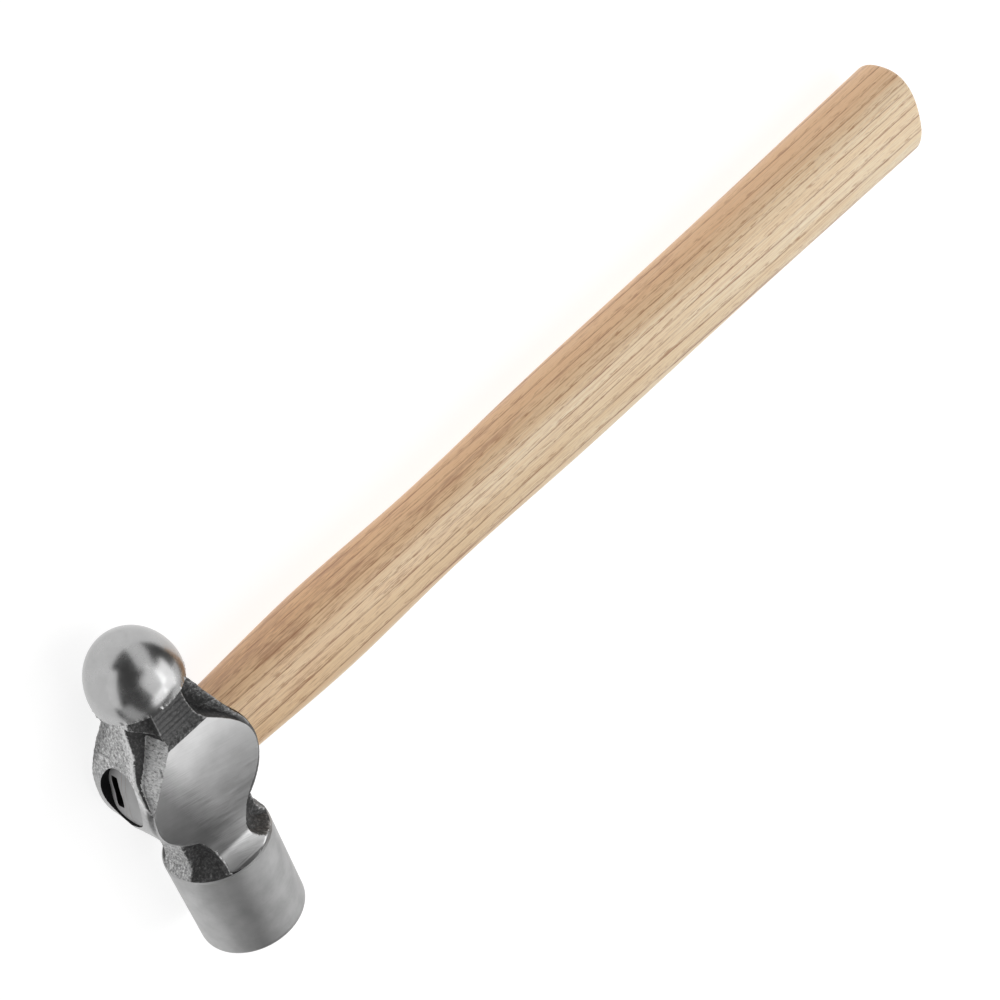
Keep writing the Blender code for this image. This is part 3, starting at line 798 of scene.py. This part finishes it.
ring_line = graded(nodes, links, ring_share, [
    (0.0, grey(1.0)), (0.05, grey(0.6)), (0.11, grey(0.2)),
    (0.22, grey(0.0)), (0.965, grey(0.0)), (1.0, grey(1.0)),
])
early_wood = graded(nodes, links, ring_share, [
    (0.0, grey(1.0)), (0.25, grey(0.85)), (0.50, grey(0.25)), (0.90, grey(0.15)), (1.0, grey(1.0)),
])
fibre = mottle(nodes, links, stretched(nodes, links, coordinates, (18.0, 2600.0, 2600.0)), 1.0, 4.0, 0.65)
hairs = mottle(nodes, links, stretched(nodes, links, coordinates, (12.0, 1500.0, 1500.0)), 1.0, 2.0, 0.5)
pores = mottle(nodes, links, stretched(nodes, links, coordinates, (210.0, 2500.0, 2500.0)), 1.0, 2.0, 0.5)
breaks = mottle(nodes, links, stretched(nodes, links, coordinates, (35.0, 320.0, 320.0)), 1.0, 3.0, 0.6)
stain = mottle(nodes, links, stretched(nodes, links, coordinates, (34.0, 300.0, 300.0)), 1.0, 4.0, 0.65)
patches = mottle(nodes, links, stretched(nodes, links, coordinates, (7.0, 90.0, 90.0)), 1.0, 3.0)
butt_share = combined(nodes, links, "MULTIPLY_ADD", parts.outputs["X"], 2.5, 0.48)

streaks = combined(nodes, links, "MULTIPLY", fibre, 0.85)
streaks = combined(nodes, links, "MULTIPLY_ADD", patches, 0.5, streaks)
paleness = combined(nodes, links, "MULTIPLY_ADD", butt_share, 0.16, streaks)
wood = graded(nodes, links, paleness, [
    (0.50, (0.70, 0.45, 0.24)), (0.76, (0.89, 0.68, 0.43)), (1.0, (0.96, 0.83, 0.61)),
])
warm_end = graded(nodes, links, butt_share, [(0.05, grey(0.55)), (0.50, grey(0.0))])
wood = mixed(nodes, links, warm_end, wood, (0.93, 0.63, 0.36))
# Painted shade: toward the handle's edge on the +Y, -Z side its colour turns darker and more orange,
# standing in for the shade on that side.
shaded_side = combined(nodes, links, "MULTIPLY_ADD", parts.outputs["Y"], 30.0, 0.15)
shaded_side = combined(nodes, links, "MULTIPLY_ADD", parts.outputs["Z"], -22.0, shaded_side)
edge_shade = graded(nodes, links, shaded_side, [(0.02, grey(0.0)), (0.48, grey(0.72))])
wood = mixed(nodes, links, edge_shade, wood, (0.70, 0.38, 0.17))
# Dark stains, the wood's own colour, set a little heavier near the head and on the painted-shade side.
stain_reach = combined(nodes, links, "MULTIPLY_ADD", butt_share, -0.20, stain)
stain_reach = combined(nodes, links, "MULTIPLY_ADD", shaded_side, 0.12, stain_reach)
stain_reach = combined(nodes, links, "MULTIPLY_ADD", pores, 0.45, stain_reach)
stained = graded(nodes, links, stain_reach, [(0.72, grey(0.0)), (0.90, grey(0.70))])
wood = mixed(nodes, links, stained, wood, (0.46, 0.23, 0.12))
dark_hairs = graded(nodes, links, hairs, [(0.58, grey(0.0)), (0.66, grey(0.32))])
wood = mixed(nodes, links, dark_hairs, wood, (0.50, 0.27, 0.14))
open_pores = graded(nodes, links, pores, [(0.53, grey(0.0)), (0.62, grey(0.85))])
open_pores = combined(nodes, links, "MULTIPLY", early_wood, open_pores)
wood = mixed(nodes, links, open_pores, wood, (0.48, 0.25, 0.12))
line_depth = graded(nodes, links, breaks, [(0.35, grey(0.15)), (0.57, grey(1.0))])
line_depth = combined(nodes, links, "MULTIPLY", ring_line, line_depth)
wood = mixed(nodes, links, line_depth, wood, (0.34, 0.13, 0.045))
links.new(wood, shader.inputs["Base Color"])
dullness = graded(nodes, links, fibre, [(0.3, grey(0.46)), (0.7, grey(0.60))])
links.new(dullness, shader.inputs["Roughness"])
grain_height = combined(nodes, links, "MULTIPLY_ADD", line_depth, -0.4, fibre)
raised(nodes, links, grain_height, 0.00005, 0.3, shader)

sealed_end, nodes, links, shader, coordinates = start_material("sealed_end")
smear = mottle(nodes, links, coordinates, 260.0, 3.0)
tone = graded(nodes, links, smear, [(0.3, grey(0.27)), (0.7, grey(0.34))])
links.new(tone, shader.inputs["Base Color"])
dullness = graded(nodes, links, smear, [(0.3, grey(0.40)), (0.7, grey(0.55))])
links.new(dullness, shader.inputs["Roughness"])
raised(nodes, links, smear, 0.0001, 0.3, shader)


def plate(points, half_height):
    """Slab from a flat outline in XY, as thick above the middle of the eye as below it."""
    body = bmesh.new()
    face = body.faces.new([body.verts.new((x, y, -half_height)) for x, y in points])
    lifted = bmesh.ops.extrude_face_region(body, geom=[face])["geom"]
    top = [part for part in lifted if isinstance(part, bmesh.types.BMVert)]
    bmesh.ops.translate(body, verts=top, vec=(0.0, 0.0, 2.0 * half_height))
    bmesh.ops.recalc_face_normals(body, faces=body.faces)
    return body


root_at = HANDLE_STATIONS[0][0]
butt_at = HANDLE_STATIONS[-1][0]
straight_end = butt_at - BUTT_EDGE_RADIUS
handle_sections = []
for place in np.linspace(root_at, straight_end, HANDLE_RINGS + 1):
    width = float(smooth_value(HANDLE_STATIONS, place))
    handle_sections.append((place, width, width / HANDLE_ASPECT, 0.0))
end_width = handle_sections[-1][1]
for step in range(1, BUTT_EDGE_STEPS + 1):
    turn = math.pi / 2.0 * step / BUTT_EDGE_STEPS
    lost = 2.0 * BUTT_EDGE_RADIUS * (1.0 - math.cos(turn))
    place = straight_end + BUTT_EDGE_RADIUS * math.sin(turn)
    handle_sections.append((place, end_width - lost, end_width / HANDLE_ASPECT - lost, 0.0))
handle = new_piece("ash_handle", oval_loft(handle_sections, HANDLE_SQUARENESS, HANDLE_STEPS), (ash,))

seat = []
seat_reach = BOSS_RADIUS + EYE_CLEARANCE + SKIN_SWELL
seat_top = math.asin((NECK_END_AT - BOSS_AT) / BOSS_RADIUS)
for step in range(1, SEAT_STEPS + 1):
    turn = -math.pi / 2.0 + (seat_top + math.pi / 2.0) * step / SEAT_STEPS
    seat.append((seat_reach * math.cos(turn), BOSS_AT + seat_reach * math.sin(turn)))
seat.append((NECK_END_LEVEL + EYE_CLEARANCE, BALL_RIM_AT))
seat += [(-x, y) for x, y in reversed(seat)]
carve(handle, new_piece("seat_tool", plate(seat, BOSS_RADIUS), (ash,)), "DIFFERENCE")

tenon_sections = []
for place, length, width, shift in reversed(EYE_SECTIONS[1:]):
    tenon_sections.append((place, length - 2.0 * EYE_CLEARANCE, width - 2.0 * EYE_CLEARANCE, shift))
tenon_face = tenon_sections[-1]
tenon_body = oval_loft(tenon_sections, EYE_SQUARENESS, TENON_STEPS)
end_face = min(tenon_body.faces, key=lambda face: face.calc_center_median().x)
for ring in range(TENON_END_RINGS):
    bmesh.ops.inset_individual(tenon_body, faces=[end_face], thickness=TENON_END_STEP)
for vert in tenon_body.verts:
    if vert.co.x < tenon_face[0] + SAME_PLACE:
        sunk = float(smooth_step(vert.co.y, TENON_FLUSH_AT, TENON_SUNK_AT))
        far = (0.5 - vert.co.z / tenon_face[2]) * sunk
        recess = TENON_NEAR_RECESS + (TENON_FAR_RECESS - TENON_NEAR_RECESS) * far
        vert.co.x = recess - math.sqrt(BOSS_RADIUS ** 2 - (vert.co.y - BOSS_AT) ** 2)
bmesh.ops.triangulate(tenon_body, faces=tenon_body.faces)
for face in tenon_body.faces:
    face.material_index = 1 if face.calc_center_median().x < EYE_SECTIONS[1][0] * SEALED_SHARE else 0

SLOT_START = -0.0400
WOOD_WEDGE_THICKNESS = 0.0036
WOOD_WEDGE_TIP = 0.0012
WOOD_WEDGE_END = 0.0060
STEEL_WEDGE_START = -0.0186
STEEL_WEDGE_THICKNESS = 0.0046
STEEL_WEDGE_TIP = 0.0010
STEEL_WEDGE_END = -0.0060
STEEL_WEDGE_WIDTH = 0.0106
STEEL_WEDGE_AT = (0.0034, -0.0052)
STEEL_WEDGE_LEAN = math.radians(-12.0)
STEEL_WEDGE_ROUNDING = 30.0
WEDGE_ROUND_STEPS = 5
WEDGE_CLEARANCE = 0.0001


def taper(mouth, start, end, thickness, tip, width, middle, lean, rounding, clearance):
    """Flat taper that points along the handle from its start, straight from there out to the mouth.

    rounding is the percentage of its thickness and width that each long edge is rounded over.
    """
    thick_half = thickness / 2.0 + clearance
    tip_half = tip / 2.0 + clearance
    upper = [(end + clearance, tip_half), (start, thick_half)]
    if mouth < start:
        upper.append((mouth, thick_half))
    points = [(x, -y) for x, y in reversed(upper)] + upper
    body = plate(points, width / 2.0 + clearance)
    if rounding:
        runs = [(edge, edge.verts[0].co.x - edge.verts[1].co.x) for edge in body.edges]
        bmesh.ops.bevel(
            body, geom=[edge for edge, run in runs if abs(run) > SAME_PLACE], offset=rounding,
            offset_type="PERCENT", segments=WEDGE_ROUND_STEPS, profile=0.5, affect="EDGES", material=-1,
        )
    upright = Matrix.Rotation(math.radians(90.0) + lean, 3, "X")
    bmesh.ops.rotate(body, verts=body.verts, cent=(0.0, 0.0, 0.0), matrix=upright)
    bmesh.ops.translate(body, verts=body.verts, vec=(0.0, *middle))
    return body


# Black scale of forged iron for the steel wedge; the same near-black finish lines the wooden walls of the
# tenon's slot as painted shade.
black_scale_and_slot_shade, nodes, links, shader, coordinates = start_material("black_scale_and_slot_shade")
shader.inputs["Metallic"].default_value = 0.8
scale_marks = mottle(nodes, links, coordinates, 1200.0)
tone = graded(nodes, links, scale_marks, [(0.3, grey(0.008)), (0.7, grey(0.02))])
links.new(tone, shader.inputs["Base Color"])
dullness = graded(nodes, links, scale_marks, [(0.3, grey(0.5)), (0.7, grey(0.7))])
links.new(dullness, shader.inputs["Roughness"])

steel_shape = (
    STEEL_WEDGE_START, STEEL_WEDGE_END, STEEL_WEDGE_THICKNESS, STEEL_WEDGE_TIP, STEEL_WEDGE_WIDTH,
    STEEL_WEDGE_AT, STEEL_WEDGE_LEAN, STEEL_WEDGE_ROUNDING,
)
wood_shape = (
    SLOT_START, WOOD_WEDGE_END, WOOD_WEDGE_THICKNESS, WOOD_WEDGE_TIP, 2.0 * BOSS_RADIUS,
    (0.0, 0.0), 0.0, 0.0,
)
wood_wedge = new_piece("wood_wedge_blank", tenon_body.copy(), (ash, sealed_end))
tenon = new_piece("tenon", tenon_body, (ash, sealed_end))
kerf = taper(SLOT_START, *wood_shape, WEDGE_CLEARANCE)
carve(tenon, new_piece("kerf_tool", kerf, (ash,)), "DIFFERENCE")
# The slot's walls are wood, given the near-black iron finish as painted shade of a deep slot.
slot = taper(SLOT_START, *steel_shape, WEDGE_CLEARANCE)
carve(tenon, new_piece("slot_tool", slot, (black_scale_and_slot_shade,)), "DIFFERENCE")
carve(handle, tenon, "UNION")
handle.data.shade_smooth()
handle.data.set_sharp_from_angle(angle=WOOD_SHARP_ANGLE)
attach(handle, "root")
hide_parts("handle")

# Wooden wedge: a thin beech taper driven into the saw kerf to spread the tenon in the eye, cut
# off level with the tenon and sealed with it.
beech, nodes, links, shader, coordinates = start_material("beech")
flecks = mottle(nodes, links, stretched(nodes, links, coordinates, (60.0, 900.0, 900.0)), 1.0, 4.0)
tone = graded(nodes, links, flecks, [(0.3, (0.42, 0.28, 0.18)), (0.7, (0.56, 0.40, 0.27))])
links.new(tone, shader.inputs["Base Color"])
dullness = graded(nodes, links, flecks, [(0.3, grey(0.6)), (0.7, grey(0.75))])
links.new(dullness, shader.inputs["Roughness"])
raised(nodes, links, flecks, 0.0001, 0.5, shader)
carve(wood_wedge, new_piece("wedge_tool", taper(SLOT_START, *wood_shape, 0.0), (beech,)), "INTERSECT")
wood_wedge.name = "beech_wedge"
wood_wedge.data.materials[0] = beech
wood_wedge.data.shade_smooth()
wood_wedge.data.set_sharp_from_angle(angle=WOOD_SHARP_ANGLE)
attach(wood_wedge, "root")
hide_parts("wood_wedge")

# Steel wedge: a small taper of black steel, forged and left with its scale on. It is driven into the
# tenon beside the wooden wedge and sunk deep in its slot.
STEEL_WEDGE_BEVEL = 0.0002
STEEL_WEDGE_BEVEL_STEPS = 2
STEEL_WEDGE_SHARP_ANGLE = math.radians(40.0)
steel_body = taper(STEEL_WEDGE_START, *steel_shape, 0.0)
bmesh.ops.bevel(
    steel_body, geom=list(steel_body.edges), offset=STEEL_WEDGE_BEVEL,
    segments=STEEL_WEDGE_BEVEL_STEPS, profile=0.5, affect="EDGES", material=-1,
)
steel_wedge = new_piece("iron_wedge", steel_body, (black_scale_and_slot_shade,))
steel_wedge.data.shade_smooth()
steel_wedge.data.set_sharp_from_angle(angle=STEEL_WEDGE_SHARP_ANGLE)
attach(steel_wedge, "root")
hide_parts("steel_wedge")

# Studio: a pale floor that glows a little so that shadows stay faint, soft panels round the hammer,
# and the camera where the photograph was taken.
FLOOR_SIZE = 6.0
FLOOR_GREY = 0.30
FLOOR_ROUGHNESS = 0.8
FLOOR_GLOW = 0.84
ROOM_LIGHT = 0.08
WHITE = (1.0, 1.0, 1.0, 1.0)
CAMERA_PLACE = Vector((-0.46756, 0.68876, 0.71767))
CAMERA_AIM = Vector((-0.02560, -0.00313, 0.0200))
CAMERA_ROLL = math.radians(114.702)
CAMERA_LENS = 108.0
SENSOR = 36.0

ground_plane = bmesh.new()
bmesh.ops.create_grid(ground_plane, x_segments=1, y_segments=1, size=FLOOR_SIZE / 2.0)
floor_mesh = bpy.data.meshes.new("floor")
ground_plane.to_mesh(floor_mesh)
ground_plane.free()
floor = bpy.data.objects.new("floor", floor_mesh)
bpy.context.scene.collection.objects.link(floor)
pale_floor, nodes, links, shader, coordinates = start_material("pale_floor")
shader.inputs["Base Color"].default_value = (*grey(FLOOR_GREY), 1.0)
shader.inputs["Roughness"].default_value = FLOOR_ROUGHNESS
shader.inputs["Emission Color"].default_value = WHITE
shader.inputs["Emission Strength"].default_value = FLOOR_GLOW
floor.data.materials.append(pale_floor)
floor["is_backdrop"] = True


def add_panel(name, azimuth, elevation, distance, width, height, brightness):
    """Soft light panel that faces the head from a direction in degrees."""
    light = bpy.data.lights.new(name, "AREA")
    light.shape = "RECTANGLE"
    light.size = width
    light.size_y = height
    light.energy = brightness * math.pi * width * height
    panel = bpy.data.objects.new(name, light)
    toward = Vector((1.0, 0.0, 0.0))
    toward.rotate(Matrix.Rotation(math.radians(-elevation), 3, "Y"))
    toward.rotate(Matrix.Rotation(math.radians(azimuth), 3, "Z"))
    panel.location = eye_centre + distance * toward
    panel.rotation_euler = (-toward).to_track_quat("-Z", "Y").to_euler()
    bpy.context.scene.collection.objects.link(panel)


add_panel("key_panel", -14.0, 46.0, 1.2, 1.0, 0.8, 1.7)
add_panel("top_panel", 20.0, 78.0, 1.4, 1.2, 1.2, 1.05)
add_panel("right_panel", 60.0, 28.0, 1.5, 1.1, 1.6, 0.85)
add_panel("back_panel", -74.0, 60.0, 1.3, 0.8, 0.55, 1.6)
add_panel("side_panel", -140.0, 24.0, 1.5, 1.1, 0.7, 0.55)
add_panel("low_panel", -42.0, 18.0, 1.9, 1.8, 0.9, 0.85)
add_panel("wall_panel", 165.0, 7.0, 1.6, 2.2, 0.7, 1.1)

world = bpy.data.worlds.new("studio")
world.use_nodes = True
room = world.node_tree.nodes["Background"]
room.inputs["Color"].default_value = WHITE
room.inputs["Strength"].default_value = ROOM_LIGHT
bpy.context.scene.world = world
bpy.context.scene.view_settings.view_transform = "Standard"

camera_data = bpy.data.cameras.new("camera")
camera_data.sensor_width = SENSOR
camera_data.lens = CAMERA_LENS
camera = bpy.data.objects.new("camera", camera_data)
camera.location = CAMERA_PLACE
level = (CAMERA_AIM - CAMERA_PLACE).to_track_quat("-Z", "Y").to_matrix()
camera.rotation_euler = (level @ Matrix.Rotation(CAMERA_ROLL, 3, "Z")).to_euler()
bpy.context.scene.collection.objects.link(camera)
bpy.context.scene.camera = camera

sizes = {"cad": [list(corner) for corner in cad_box], "visual": [list(corner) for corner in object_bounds()]}
